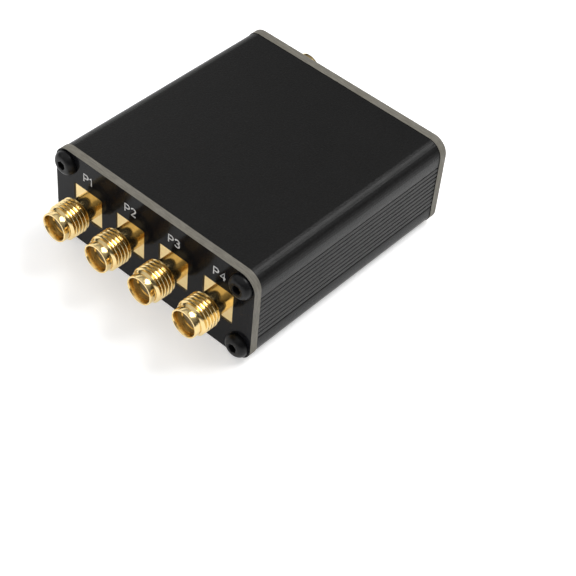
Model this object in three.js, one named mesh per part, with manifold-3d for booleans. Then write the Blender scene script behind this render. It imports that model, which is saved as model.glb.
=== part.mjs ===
// Pocket vector network analyzer: an extruded aluminium sleeve closed by two circuit-board panels,
// with four coaxial ports at the front and one at the rear, all soldered to one inner board.
// Millimetres, +Z up. The front panel faces -Y. The origin is on the floor under the middle of the case.

import * as THREE from 'three';
import { mergeVertices } from 'three/addons/utils/BufferGeometryUtils.js';
import Module from 'manifold-3d';

const wasm = await Module();
wasm.setup();

// ---------- driving dimensions ----------

const PANEL = { width: 45.2, height: 18.8, thickness: 1.6, corner: 3.0, screwInset: 2.7 };
const SLEEVE = { width: 45.0, height: 18.6, length: 45.0, corner: 2.9, sideWall: 1.6, topWall: 1.5 };
const GROOVE = { count: 10, pitch: 1.0, mouth: 0.36, floor: 0.14, depth: 0.25 };
const BOSS = { radius: 2.3, holeRadius: 1.28 };
const SCREW = {
  headRadius: 2.25,
  headHeight: 1.35,
  flatRadius: 1.15,
  rim: 0.2,
  domeSteps: 3,
  shankRadius: 1.25,
  length: 6.0,
};
const SOCKET = { acrossFlats: 1.5, depth: 0.9 };
const SCREW_CLEARANCE_RADIUS = 1.45;

// The rear screws are countersunk flush. Depths run inwards from the panel's outer face.
const FLAT_SCREW = { headRadius: 2.2, headTop: 0.05, length: 7.0 };
const COUNTERSINK = { radius: 2.3, cutterReach: 1.3 };

// Coaxial jack, 1/4-36 thread, soldered to the board edge. Lengths run from the panel's outer face.
const JACK = {
  pitch: 10.0,
  reach: 7.67,
  collarRadius: 2.7,
  collarLength: 1.2,
  threadRadius: 3.175,
  threadLength: 4.2,
  neckRadius: 2.3,
  mouthRadius: 2.3,
  mouthDepth: 1.9,
  boreRadius: 2.07,
  flangeSide: 6.35,
  flangeThickness: 1.6,
  flangeRecess: 0.2,
  legSide: 1.0,
  legLength: 4.8,
  legOffset: 2.6,
  rimChamfer: 0.1,
};
const INSULATOR = { radius: 2.05, holeRadius: 0.66 };
const CONTACT = {
  radius: 0.635,
  recess: 0.1,
  holeRadius: 0.47,
  holeDepth: 2.6,
  tailRadius: 0.4,
  tailLength: 2.8,
};
const CUTOUT = { side: 6.6, corner: 0.3 };

const BOARD = { width: 41.6, thickness: 1.6, corner: 0.8, topBelowAxis: 0.45, edgeGap: 0.02 };
const RAIL = { reach: 1.0, height: 1.3, boardClearance: 0.05 };
const SOLDER_GAP = 0.02;

const CAN = { width: 8.6, depth: 12.0, height: 2.6, wall: 0.2, corner: 0.5, y: -10.8 };
const CHIP_CHAMFER = 0.08;

const USB = {
  x: 9.0,
  width: 7.5,
  height: 2.45,
  shoulder: 1.3,
  slope: 0.85,
  wall: 0.25,
  length: 5.6,
  setback: 0.1,
};
const TONGUE = { width: 4.4, thickness: 0.6, blockLength: 1.9, frontGap: 1.0, roofGap: 0.25, play: 0.03 };
const USB_CUTOUT = { width: 8.2, height: 3.1, corner: 0.7 };

const LED = { x: 1.5, width: 1.6, depth: 1.2, height: 1.4, gapToPanel: 0.4, windowRadius: 0.9 };
const BUTTON = {
  x: 16.0,
  width: 4.2,
  depth: 3.6,
  height: 3.0,
  gapToPanel: 0.4,
  stemRadius: 0.8,
  stemHole: 0.86,
  collarRadius: 1.0,
  chamberRadius: 1.08,
  collarLength: 0.5,
  collarPlay: 0.1,
  coverThickness: 0.4,
  travel: 0.25,
  chamberSpare: 0.35,
  tipBehindPanel: 1.1,
  tipChamfer: 0.15,
  panelHoleRadius: 1.1,
};

const REAR_JACK_X = -15.0;
const ROUND_SEGMENTS = 20;
const SMALL_SEGMENTS = 14;
const ARC_SEGMENTS = 2;
const SLEEVE_ARC_SEGMENTS = 5;
const CUT_OVERRUN = 1.0;

// ---------- places worked out from the dimensions ----------

const midZ = PANEL.height / 2;
const sleeveEnd = SLEEVE.length / 2;
const panelFace = sleeveEnd + PANEL.thickness;
const flangeBack = panelFace - JACK.flangeRecess - JACK.flangeThickness;
const boardTop = midZ - BOARD.topBelowAxis;
const boardBottom = boardTop - BOARD.thickness;
const partsLevel = boardTop + SOLDER_GAP;
const screwX = PANEL.width / 2 - PANEL.screwInset;
const screwZ = PANEL.height / 2 - PANEL.screwInset;

// ---------- materials ----------

function material(color, roughness, metalness) {
  return new THREE.MeshStandardMaterial({ color, roughness, metalness });
}

const MATERIALS = {
  anodised: material(0x26272a, 0.45, 0.6),
  solderMask: material(0x1c1d21, 0.12, 0.0),
  blackSteel: material(0x101012, 0.3, 0.8),
  gold: material(0xd9ad55, 0.15, 1.0),
  ptfe: material(0xe8e4da, 0.5, 0.0),
  boardGreen: material(0x14351f, 0.35, 0.0),
  tinPlate: material(0xb9bbbd, 0.3, 1.0),
  epoxy: material(0x17181a, 0.6, 0.0),
  ferrite: material(0x3a3c40, 0.7, 0.2),
  blackPlastic: material(0x111214, 0.5, 0.0),
  ledLens: material(0xcfe9c9, 0.2, 0.0),
};

// ---------- solid helpers ----------

function toSolid(geometry) {
  const bare = geometry.clone();
  bare.deleteAttribute('normal');
  bare.deleteAttribute('uv');
  const merged = mergeVertices(bare);
  const vertProperties = new Float32Array(merged.attributes.position.array);
  const triVerts = new Uint32Array(merged.index.array);
  return new wasm.Manifold(new wasm.Mesh({ numProp: 3, vertProperties, triVerts }));
}

function toGeometry(solid) {
  const mesh = solid.getMesh();
  const geometry = new THREE.BufferGeometry();
  geometry.setAttribute('position', new THREE.BufferAttribute(mesh.vertProperties, 3));
  geometry.setIndex(new THREE.BufferAttribute(mesh.triVerts, 1));
  return geometry;
}

// Extrudes an outline drawn in X and Z between two planes of constant Y.
function extrudeAlongY(shape, yLow, yHigh, curveSegments = ARC_SEGMENTS) {
  const depth = yHigh - yLow;
  const geometry = new THREE.ExtrudeGeometry(shape, { depth, bevelEnabled: false, curveSegments });
  geometry.rotateX(Math.PI / 2);
  geometry.translate(0, yHigh, 0);
  return geometry;
}

// Extrudes an outline drawn in X and Y upwards from a level, with an optional chamfer all round.
function extrudeUp(shape, zLow, height, chamfer = 0) {
  const geometry = new THREE.ExtrudeGeometry(shape, {
    depth: height - 2 * chamfer,
    bevelEnabled: chamfer > 0,
    bevelThickness: chamfer,
    bevelSize: chamfer,
    bevelOffset: -chamfer,
    bevelSegments: 1,
    curveSegments: 1,
  });
  geometry.translate(0, 0, zLow + chamfer);
  return geometry;
}

function boxBetween(low, high) {
  const size = high.map((value, axis) => value - low[axis]);
  const geometry = new THREE.BoxGeometry(...size);
  geometry.translate(...low.map((value, axis) => value + size[axis] / 2));
  return geometry;
}

function roundAlongY(radius, yLow, yHigh, x, z, segments = SMALL_SEGMENTS) {
  const geometry = new THREE.CylinderGeometry(radius, radius, yHigh - yLow, segments);
  geometry.translate(x, (yLow + yHigh) / 2, z);
  return geometry;
}

// Draws a rounded rectangle about a centre, either as an outline or as a hole.
function roundedRectangle(path, width, height, radius, centreX = 0, centreZ = 0) {
  const x = width / 2 - radius;
  const z = height / 2 - radius;
  path.moveTo(centreX - x, centreZ - z - radius);
  path.absarc(centreX + x, centreZ - z, radius, -Math.PI / 2, 0);
  path.absarc(centreX + x, centreZ + z, radius, 0, Math.PI / 2);
  path.absarc(centreX - x, centreZ + z, radius, Math.PI / 2, Math.PI);
  path.absarc(centreX - x, centreZ - z, radius, Math.PI, Math.PI * 1.5);
  return path;
}

function rectangle(width, depth) {
  const shape = new THREE.Shape();
  shape.moveTo(-width / 2, -depth / 2);
  shape.lineTo(width / 2, -depth / 2);
  shape.lineTo(width / 2, depth / 2);
  shape.lineTo(-width / 2, depth / 2);
  return shape;
}

// A cone along +Y that narrows from one radius to another.
function coneAlongY(firstRadius, lastRadius, yLow, yHigh, x, z) {
  const geometry = new THREE.CylinderGeometry(lastRadius, firstRadius, yHigh - yLow, SMALL_SEGMENTS);
  geometry.translate(x, (yLow + yHigh) / 2, z);
  return geometry;
}

function circleHole(x, z, radius) {
  const points = [];
  for (let step = 0; step < SMALL_SEGMENTS; step += 1) {
    const angle = (step / SMALL_SEGMENTS) * Math.PI * 2;
    points.push(new THREE.Vector2(x + radius * Math.cos(angle), z + radius * Math.sin(angle)));
  }
  return new THREE.Path(points);
}

function screwPlaces() {
  const places = [];
  for (const side of [-1, 1]) {
    for (const level of [-1, 1]) {
      places.push({ x: side * screwX, z: midZ + level * screwZ });
    }
  }
  return places;
}

const analyzer = new THREE.Group();

function addPiece(name, geometry, finish, x = 0, y = 0, z = 0, turnZ = 0) {
  const mesh = new THREE.Mesh(geometry, finish);
  mesh.name = name;
  mesh.position.set(x, y, z);
  mesh.rotation.z = turnZ;
  analyzer.add(mesh);
}

// ---------- sleeve ----------

// One groove across a side wall. Direction is 1 on the right wall, drawn upwards, and -1 on the left.
function drawGroove(shape, x, level, direction) {
  const halfMouth = (direction * GROOVE.mouth) / 2;
  const halfFloor = (direction * GROOVE.floor) / 2;
  const floorX = x - direction * GROOVE.depth;
  shape.lineTo(x, level - halfMouth);
  shape.lineTo(floorX, level - halfFloor);
  shape.lineTo(floorX, level + halfFloor);
  shape.lineTo(x, level + halfMouth);
}

function sleeveOutline() {
  const x = SLEEVE.width / 2;
  const low = midZ - SLEEVE.height / 2;
  const high = midZ + SLEEVE.height / 2;
  const r = SLEEVE.corner;
  const firstGroove = midZ - ((GROOVE.count - 1) * GROOVE.pitch) / 2;
  const levels = Array.from({ length: GROOVE.count }, (_, i) => firstGroove + i * GROOVE.pitch);
  const shape = new THREE.Shape();
  shape.moveTo(-x + r, low);
  shape.absarc(x - r, low + r, r, -Math.PI / 2, 0);
  levels.forEach((level) => drawGroove(shape, x, level, 1));
  shape.absarc(x - r, high - r, r, 0, Math.PI / 2);
  shape.absarc(-x + r, high - r, r, Math.PI / 2, Math.PI);
  levels.reverse().forEach((level) => drawGroove(shape, -x, level, -1));
  shape.absarc(-x + r, low + r, r, Math.PI, Math.PI * 1.5);
  return shape;
}

function makeSleeve() {
  const end = sleeveEnd + CUT_OVERRUN;
  const cavityX = SLEEVE.width / 2 - SLEEVE.sideWall;
  const cavityZ = SLEEVE.height / 2 - SLEEVE.topWall;
  let cavity = toSolid(boxBetween([-cavityX, -end, midZ - cavityZ], [cavityX, end, midZ + cavityZ]));
  const railFloor = boardBottom - RAIL.boardClearance - RAIL.height;
  const railRoof = boardTop + RAIL.boardClearance;
  for (const side of [-1, 1]) {
    const inner = side * (cavityX - RAIL.reach);
    const outer = side * (cavityX + CUT_OVERRUN);
    for (const level of [railFloor, railRoof]) {
      const low = [Math.min(inner, outer), -end - CUT_OVERRUN, level];
      const high = [Math.max(inner, outer), end + CUT_OVERRUN, level + RAIL.height];
      cavity = cavity.subtract(toSolid(boxBetween(low, high)));
    }
  }
  let sleeve = toSolid(extrudeAlongY(sleeveOutline(), -sleeveEnd, sleeveEnd, SLEEVE_ARC_SEGMENTS));
  for (const { x, z } of screwPlaces()) {
    const bossEnd = end + CUT_OVERRUN;
    cavity = cavity.subtract(toSolid(roundAlongY(BOSS.radius, -bossEnd, bossEnd, x, z)));
    sleeve = sleeve.subtract(toSolid(roundAlongY(BOSS.holeRadius, -end, end, x, z)));
  }
  return toGeometry(sleeve.subtract(cavity));
}

// ---------- panels ----------

function makePanel(cutouts, yLow) {
  const shape = roundedRectangle(new THREE.Shape(), PANEL.width, PANEL.height, PANEL.corner, 0, midZ);
  shape.holes.push(...cutouts);
  for (const { x, z } of screwPlaces()) {
    shape.holes.push(circleHole(x, z, SCREW_CLEARANCE_RADIUS));
  }
  return extrudeAlongY(shape, yLow, yLow + PANEL.thickness);
}

// The rear panel's screw holes widen at 45 degrees to its outer face, at +Y.
function makeRearPanel(cutouts) {
  let panel = toSolid(makePanel(cutouts, sleeveEnd));
  const { radius, cutterReach } = COUNTERSINK;
  const start = panelFace - cutterReach;
  const end = panelFace + cutterReach;
  for (const { x, z } of screwPlaces()) {
    const cutter = toSolid(coneAlongY(radius - cutterReach, radius + cutterReach, start, end, x, z));
    panel = panel.subtract(cutter);
  }
  return toGeometry(panel);
}

function jackCutout(x) {
  return roundedRectangle(new THREE.Path(), CUTOUT.side, CUTOUT.side, CUTOUT.corner, x, midZ);
}

// ---------- screws ----------

// Cuts the hexagon socket into a screw along +Y whose head starts at a given Y.
function cutSocket(blank, headTop) {
  const hexRadius = SOCKET.acrossFlats / 2 / Math.cos(Math.PI / 6);
  const start = headTop - CUT_OVERRUN;
  const hex = toSolid(roundAlongY(hexRadius, start, headTop + SOCKET.depth, 0, 0, 6));
  return toGeometry(blank.subtract(hex));
}

// Button-head screw along +Y, with the underside of its head at Y = 0.
function makeButtonScrew() {
  const profile = [];
  for (let step = 0; step <= SCREW.domeSteps; step += 1) {
    const angle = ((step / SCREW.domeSteps) * Math.PI) / 2;
    const radius = SCREW.flatRadius + (SCREW.headRadius - SCREW.flatRadius) * Math.sin(angle);
    const y = -SCREW.rim - (SCREW.headHeight - SCREW.rim) * Math.cos(angle);
    profile.push(new THREE.Vector2(radius, y));
  }
  profile.unshift(new THREE.Vector2(0, -SCREW.headHeight));
  profile.push(new THREE.Vector2(SCREW.headRadius, 0));
  profile.push(new THREE.Vector2(SCREW.shankRadius, 0));
  profile.push(new THREE.Vector2(SCREW.shankRadius, SCREW.length));
  profile.push(new THREE.Vector2(0, SCREW.length));
  return cutSocket(toSolid(new THREE.LatheGeometry(profile, SMALL_SEGMENTS)), -SCREW.headHeight);
}

// Countersunk screw along +Y, with the panel's outer face at Y = 0.
function makeFlatScrew() {
  const coneEnd = FLAT_SCREW.headTop + FLAT_SCREW.headRadius - SCREW.shankRadius;
  const outline = [
    [0, FLAT_SCREW.headTop],
    [FLAT_SCREW.headRadius, FLAT_SCREW.headTop],
    [SCREW.shankRadius, coneEnd],
    [SCREW.shankRadius, FLAT_SCREW.length],
    [0, FLAT_SCREW.length],
  ];
  const profile = outline.map(([radius, y]) => new THREE.Vector2(radius, y));
  return cutSocket(toSolid(new THREE.LatheGeometry(profile, SMALL_SEGMENTS)), FLAT_SCREW.headTop);
}

// ---------- coaxial jacks ----------

// The jack's own frame has the mating end at -Y and the panel's outer face at Y = 0.
function makeJackBody() {
  const tip = -JACK.reach;
  const collarEnd = tip + JACK.collarLength;
  const threadEnd = collarEnd + JACK.threadLength;
  const flangeFront = JACK.flangeRecess;
  const back = flangeFront + JACK.flangeThickness;
  const outline = [
    [JACK.mouthRadius, tip],
    [JACK.collarRadius - JACK.rimChamfer, tip],
    [JACK.collarRadius, tip + JACK.rimChamfer],
    [JACK.collarRadius, collarEnd],
    [JACK.threadRadius, collarEnd],
    [JACK.threadRadius, threadEnd],
    [JACK.neckRadius, threadEnd],
    [JACK.neckRadius, back],
    [JACK.boreRadius, back],
    [JACK.boreRadius, tip + JACK.mouthDepth],
    [JACK.mouthRadius, tip + JACK.mouthDepth],
    [JACK.mouthRadius, tip],
  ];
  const profile = outline.map(([radius, y]) => new THREE.Vector2(radius, y));
  const barrel = toSolid(new THREE.LatheGeometry(profile, ROUND_SEGMENTS));
  const half = JACK.flangeSide / 2;
  const flangeHole = toSolid(roundAlongY(JACK.boreRadius, 0, back + CUT_OVERRUN, 0, 0, ROUND_SEGMENTS));
  const flangeBox = toSolid(boxBetween([-half, flangeFront, -half], [half, back, half]));
  let body = barrel.add(flangeBox.subtract(flangeHole));
  const upperLeg = -BOARD.topBelowAxis + SOLDER_GAP;
  const lowerLeg = -BOARD.topBelowAxis - BOARD.thickness - SOLDER_GAP - JACK.legSide;
  for (const side of [-1, 1]) {
    const legX = side * JACK.legOffset - JACK.legSide / 2;
    for (const level of [upperLeg, lowerLeg]) {
      const low = [legX, back - CUT_OVERRUN / 2, level];
      const high = [legX + JACK.legSide, back + JACK.legLength, level + JACK.legSide];
      body = body.add(toSolid(boxBetween(low, high)));
    }
  }
  return toGeometry(body);
}

function makeInsulator() {
  const front = -JACK.reach + JACK.mouthDepth;
  const back = JACK.flangeRecess + JACK.flangeThickness;
  const outline = [
    [INSULATOR.holeRadius, front],
    [INSULATOR.radius, front],
    [INSULATOR.radius, back],
    [INSULATOR.holeRadius, back],
    [INSULATOR.holeRadius, front],
  ];
  return new THREE.LatheGeometry(outline.map(([radius, y]) => new THREE.Vector2(radius, y)), ROUND_SEGMENTS);
}

function makeContact() {
  const front = -JACK.reach + JACK.mouthDepth + CONTACT.recess;
  const back = JACK.flangeRecess + JACK.flangeThickness;
  const outline = [
    [0, front + CONTACT.holeDepth],
    [CONTACT.holeRadius, front + CONTACT.holeDepth],
    [CONTACT.holeRadius, front],
    [CONTACT.radius, front],
    [CONTACT.radius, back],
    [CONTACT.tailRadius, back],
    [CONTACT.tailRadius, back + CONTACT.tailLength],
    [0, back + CONTACT.tailLength],
  ];
  return new THREE.LatheGeometry(outline.map(([radius, y]) => new THREE.Vector2(radius, y)), SMALL_SEGMENTS);
}

function addJack(name, x, y, turnZ) {
  addPiece(`${name}_body`, makeJackBody(), MATERIALS.gold, x, y, midZ, turnZ);
  addPiece(`${name}_insulator`, makeInsulator(), MATERIALS.ptfe, x, y, midZ, turnZ);
  addPiece(`${name}_contact`, makeContact(), MATERIALS.gold, x, y, midZ, turnZ);
}

// ---------- board and what is soldered to it ----------

function makeBoard() {
  const depth = 2 * (flangeBack - BOARD.edgeGap);
  const shape = roundedRectangle(new THREE.Shape(), BOARD.width, depth, BOARD.corner);
  return extrudeUp(shape, boardBottom, BOARD.thickness);
}

function makeChip(width, depth, height) {
  return extrudeUp(rectangle(width, depth), 0, height, CHIP_CHAMFER);
}

function addChip(name, finish, width, depth, height, x, y) {
  addPiece(name, makeChip(width, depth, height), finish, x, y, partsLevel);
}

// Drawn tin-plate lid over one receiver, open towards the board.
function makeShieldCan() {
  const outer = roundedRectangle(new THREE.Shape(), CAN.width, CAN.depth, CAN.corner);
  const innerWidth = CAN.width - 2 * CAN.wall;
  const innerDepth = CAN.depth - 2 * CAN.wall;
  const inner = roundedRectangle(new THREE.Shape(), innerWidth, innerDepth, CAN.corner - CAN.wall);
  const shell = toSolid(extrudeUp(outer, 0, CAN.height));
  const hollow = toSolid(extrudeUp(inner, -CUT_OVERRUN, CAN.height - CAN.wall + CUT_OVERRUN));
  return toGeometry(shell.subtract(hollow));
}

// ---------- micro-USB inlet ----------

// The inlet's section: flat roof, upright shoulders and slanted lower corners.
function usbSection(inset) {
  const half = USB.width / 2 - inset;
  const low = inset;
  const high = USB.height - inset;
  const shoulder = USB.height - USB.shoulder;
  const shape = new THREE.Shape();
  shape.moveTo(-half + USB.slope, low);
  shape.lineTo(half - USB.slope, low);
  shape.lineTo(half, shoulder);
  shape.lineTo(half, high);
  shape.lineTo(-half, high);
  shape.lineTo(-half, shoulder);
  shape.closePath();
  return shape;
}

const usbFront = panelFace - USB.setback;
const usbBack = usbFront - USB.length;

function makeUsbShell() {
  const outer = toSolid(extrudeAlongY(usbSection(0), usbBack, usbFront));
  const inner = extrudeAlongY(usbSection(USB.wall), usbBack - CUT_OVERRUN, usbFront + CUT_OVERRUN);
  return toGeometry(outer.subtract(toSolid(inner)));
}

function makeUsbTongue() {
  const play = USB.wall + TONGUE.play;
  const block = toSolid(extrudeAlongY(usbSection(play), usbBack, usbBack + TONGUE.blockLength));
  const roof = USB.height - play - TONGUE.roofGap;
  const low = [-TONGUE.width / 2, usbBack + TONGUE.blockLength / 2, roof - TONGUE.thickness];
  const high = [TONGUE.width / 2, usbFront - TONGUE.frontGap, roof];
  return toGeometry(block.add(toSolid(boxBetween(low, high))));
}

// ---------- status light and boot switch ----------

const lightFront = sleeveEnd - LED.gapToPanel;
const switchFront = sleeveEnd - BUTTON.gapToPanel;
const buttonZ = partsLevel + BUTTON.height / 2;
const collarFront = switchFront - BUTTON.coverThickness - BUTTON.collarPlay;
const collarBack = collarFront - BUTTON.collarLength;

function makeSwitchBody() {
  const half = BUTTON.width / 2;
  const low = [BUTTON.x - half, switchFront - BUTTON.depth, partsLevel];
  const high = [BUTTON.x + half, switchFront, partsLevel + BUTTON.height];
  const chamberBack = collarBack - BUTTON.travel - BUTTON.chamberSpare;
  const chamberFront = switchFront - BUTTON.coverThickness;
  const block = toSolid(boxBetween(low, high));
  const chamber = roundAlongY(BUTTON.chamberRadius, chamberBack, chamberFront, BUTTON.x, buttonZ);
  const stemWay = roundAlongY(BUTTON.stemHole, chamberBack, switchFront + CUT_OVERRUN, BUTTON.x, buttonZ);
  return toGeometry(block.subtract(toSolid(chamber)).subtract(toSolid(stemWay)));
}

function makePlunger() {
  const tip = panelFace - BUTTON.tipBehindPanel;
  const outline = [
    [0, collarBack],
    [BUTTON.collarRadius, collarBack],
    [BUTTON.collarRadius, collarFront],
    [BUTTON.stemRadius, collarFront],
    [BUTTON.stemRadius, tip - BUTTON.tipChamfer],
    [BUTTON.stemRadius - BUTTON.tipChamfer, tip],
    [0, tip],
  ];
  return new THREE.LatheGeometry(outline.map(([radius, y]) => new THREE.Vector2(radius, y)), SMALL_SEGMENTS);
}

// ---------- assembly ----------

const portPlaces = [-1.5, -0.5, 0.5, 1.5].map((step) => step * JACK.pitch);
const usbLevel = partsLevel + USB.height / 2;
const rearCutouts = [
  jackCutout(REAR_JACK_X),
  roundedRectangle(new THREE.Path(), USB_CUTOUT.width, USB_CUTOUT.height, USB_CUTOUT.corner, USB.x, usbLevel),
  circleHole(LED.x, partsLevel + LED.height / 2, LED.windowRadius),
  circleHole(BUTTON.x, buttonZ, BUTTON.panelHoleRadius),
];

addPiece('case_sleeve', makeSleeve(), MATERIALS.anodised);
addPiece('front_panel', makePanel(portPlaces.map(jackCutout), -panelFace), MATERIALS.solderMask);
addPiece('rear_panel', makeRearPanel(rearCutouts), MATERIALS.solderMask);

screwPlaces().forEach(({ x, z }, index) => {
  addPiece(`front_screw_${index + 1}`, makeButtonScrew(), MATERIALS.blackSteel, x, -panelFace, z);
  addPiece(`rear_screw_${index + 1}`, makeFlatScrew(), MATERIALS.blackSteel, x, panelFace, z, Math.PI);
});

addPiece('main_board', makeBoard(), MATERIALS.boardGreen);

portPlaces.forEach((x, index) => {
  addJack(`port_${index + 1}`, x, -panelFace, 0);
  addPiece(`shield_can_${index + 1}`, makeShieldCan(), MATERIALS.tinPlate, x, CAN.y, partsLevel);
  addChip(`receiver_${index + 1}`, MATERIALS.epoxy, 4.0, 4.0, 0.85, x, CAN.y);
});
addJack('rear_port', REAR_JACK_X, panelFace, Math.PI);

addChip('source_synthesizer', MATERIALS.epoxy, 5.0, 5.0, 0.85, -6.0, 1.2);
addChip('lo_synthesizer', MATERIALS.epoxy, 5.0, 5.0, 0.85, 6.0, 1.2);
addChip('port_switch', MATERIALS.epoxy, 4.0, 4.0, 0.9, 0.0, 0.0);
addChip('data_converter', MATERIALS.epoxy, 5.0, 5.0, 0.9, -13.0, 4.0);
addChip('processor', MATERIALS.epoxy, 10.0, 10.0, 1.2, -4.5, 11.5);
addChip('flash_memory', MATERIALS.epoxy, 6.0, 5.0, 0.8, 6.5, 8.0);
addChip('reference_oscillator', MATERIALS.tinPlate, 5.0, 3.2, 1.3, -14.0, 12.0);
addChip('crystal', MATERIALS.tinPlate, 3.2, 2.5, 0.7, 5.2, 14.0);
addChip('voltage_regulator', MATERIALS.epoxy, 3.0, 3.0, 1.0, 14.0, 5.0);
addChip('power_inductor', MATERIALS.ferrite, 4.0, 4.0, 2.0, 14.0, 11.0);

addPiece('usb_shell', makeUsbShell(), MATERIALS.tinPlate, USB.x, 0, partsLevel);
addPiece('usb_tongue', makeUsbTongue(), MATERIALS.blackPlastic, USB.x, 0, partsLevel);
addPiece('status_led', makeChip(LED.width, LED.depth, LED.height), MATERIALS.ledLens,
  LED.x, lightFront - LED.depth / 2, partsLevel);
addPiece('boot_switch_body', makeSwitchBody(), MATERIALS.blackPlastic);
addPiece('boot_plunger', makePlunger(), MATERIALS.blackPlastic, BUTTON.x, 0, buttonZ);

export default analyzer;
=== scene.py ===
import math

import bmesh
import bpy
from bpy.props import FloatProperty, FloatVectorProperty, PointerProperty
from bpy.types import Operator, Panel, PropertyGroup
from mathutils import Matrix, Vector


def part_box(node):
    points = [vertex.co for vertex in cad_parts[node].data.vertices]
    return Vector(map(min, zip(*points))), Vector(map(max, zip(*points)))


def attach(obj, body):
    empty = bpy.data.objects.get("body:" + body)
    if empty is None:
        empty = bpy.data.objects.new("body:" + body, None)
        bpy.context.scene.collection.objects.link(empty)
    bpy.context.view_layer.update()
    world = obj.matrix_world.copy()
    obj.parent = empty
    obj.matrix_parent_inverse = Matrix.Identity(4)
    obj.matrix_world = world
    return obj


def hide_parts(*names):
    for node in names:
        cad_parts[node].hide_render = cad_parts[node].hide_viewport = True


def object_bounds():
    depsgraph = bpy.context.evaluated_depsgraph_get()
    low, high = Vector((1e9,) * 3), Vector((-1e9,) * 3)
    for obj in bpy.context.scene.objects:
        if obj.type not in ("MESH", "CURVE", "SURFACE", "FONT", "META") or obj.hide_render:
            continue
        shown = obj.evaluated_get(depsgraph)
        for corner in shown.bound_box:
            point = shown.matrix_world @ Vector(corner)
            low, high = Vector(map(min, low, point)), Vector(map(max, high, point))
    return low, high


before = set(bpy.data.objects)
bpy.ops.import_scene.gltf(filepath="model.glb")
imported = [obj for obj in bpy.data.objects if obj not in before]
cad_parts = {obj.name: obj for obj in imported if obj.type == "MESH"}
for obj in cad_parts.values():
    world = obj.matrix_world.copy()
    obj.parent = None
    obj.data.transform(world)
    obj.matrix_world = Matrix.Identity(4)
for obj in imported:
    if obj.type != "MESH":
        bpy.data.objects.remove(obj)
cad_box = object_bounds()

bl_info = {
    "name": "Pocket Network Analyzer",
    "version": (1, 0, 0),
    "blender": (4, 5, 0),
    "location": "3D View > Sidebar > Analyzer",
    "description": "Builds the surfaces and finishes of a pocket four-port network analyzer",
    "category": "Object",
}

MM = 0.001
MAIN_BODY = "instrument"
BUTTON_BODY = "boot_button"
FRONT_PORTS = ("port_1", "port_2", "port_3", "port_4")
FULL_TURN = 2.0 * math.pi
SMOOTH_ANGLE = math.radians(32)
WELD = 1e-6
KEY_FROM = Vector((0.25, 0.5, 0.83))
FILL_FROM = Vector((-0.3, -0.45, 0.8))
SIDE_FROM = Vector((-0.85, 0.35, 0.35))
FINISH_PREFIX = "finish_"  # sets the finishes apart from the plain materials of the CAD nodes


# ---------- settings ----------

def length(name, description, size):
    """A distance, given in millimetres and kept in metres."""
    return FloatProperty(name=name, description=description, default=size * MM, min=0.0,
                         subtype="DISTANCE", unit="LENGTH", precision=5)


def tint(name, description, red, green, blue):
    return FloatVectorProperty(name=name, description=description, default=(red, green, blue),
                               size=3, min=0.0, max=1.0, subtype="COLOR")


def share(name, description, value):
    return FloatProperty(name=name, description=description, default=value, min=0.0, max=1.0,
                         subtype="FACTOR")


class CaseSizes(PropertyGroup):
    corner_rounding: length("Corner rounding", "How far each corner facet of the sleeve is rounded", 0.42)
    groove_break: length("Groove edge break", "Rounding on the edges of the cooling grooves", 0.05)
    panel_corner: length("Panel corner", "Corner radius of the two end panels", 3.0)
    panel_break: length("Panel edge break", "Rounding where a panel's face meets its cut edge", 0.05)
    cutout_side: length("Jack cutout", "Side of the square cutout round each jack", 6.6)
    cutout_corner: length("Cutout corner", "Corner radius of the jack cutouts", 0.3)
    screw_hole: length("Screw hole", "Radius of the clearance holes under the screw heads", 1.45)
    sink_radius: length("Countersink", "Radius of the rear screw holes at the panel's outer face", 2.3)
    inlet_width: length("Inlet cutout width", "Width of the cutout round the data inlet", 8.2)
    inlet_height: length("Inlet cutout height", "Height of the cutout round the data inlet", 3.1)
    inlet_corner: length("Inlet cutout corner", "Corner radius of the inlet cutout", 0.7)
    light_window: length("Light window", "Radius of the hole in front of the status light", 0.9)
    button_hole: length("Button hole", "Radius of the hole in front of the boot button", 1.1)


class ScrewSizes(PropertyGroup):
    head_radius: length("Head radius", "Radius of the button head", 2.25)
    head_height: length("Head height", "Height of the button head", 1.35)
    flat_radius: length("Flat radius", "Radius of the flat on top of the button head", 1.15)
    rim: length("Rim", "Height of the straight rim under the dome", 0.2)
    sunk_radius: length("Sunk head radius", "Radius of the countersunk head", 2.2)
    sunk_depth: length("Sunk depth", "How far the countersunk head lies below the panel's face", 0.05)
    sunk_length: length("Sunk length", "Length of a countersunk screw from the panel's face", 7.0)
    shank_radius: length("Shank radius", "Radius of the shank", 1.25)
    shank_length: length("Shank length", "Length of the shank under the head", 6.0)
    socket_flats: length("Socket", "Width of the hexagon socket across its flats", 1.5)
    socket_depth: length("Socket depth", "Depth of the hexagon socket", 0.9)
    edge_break: length("Edge break", "Rounding on the socket's mouth and the head's rim", 0.07)


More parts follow.
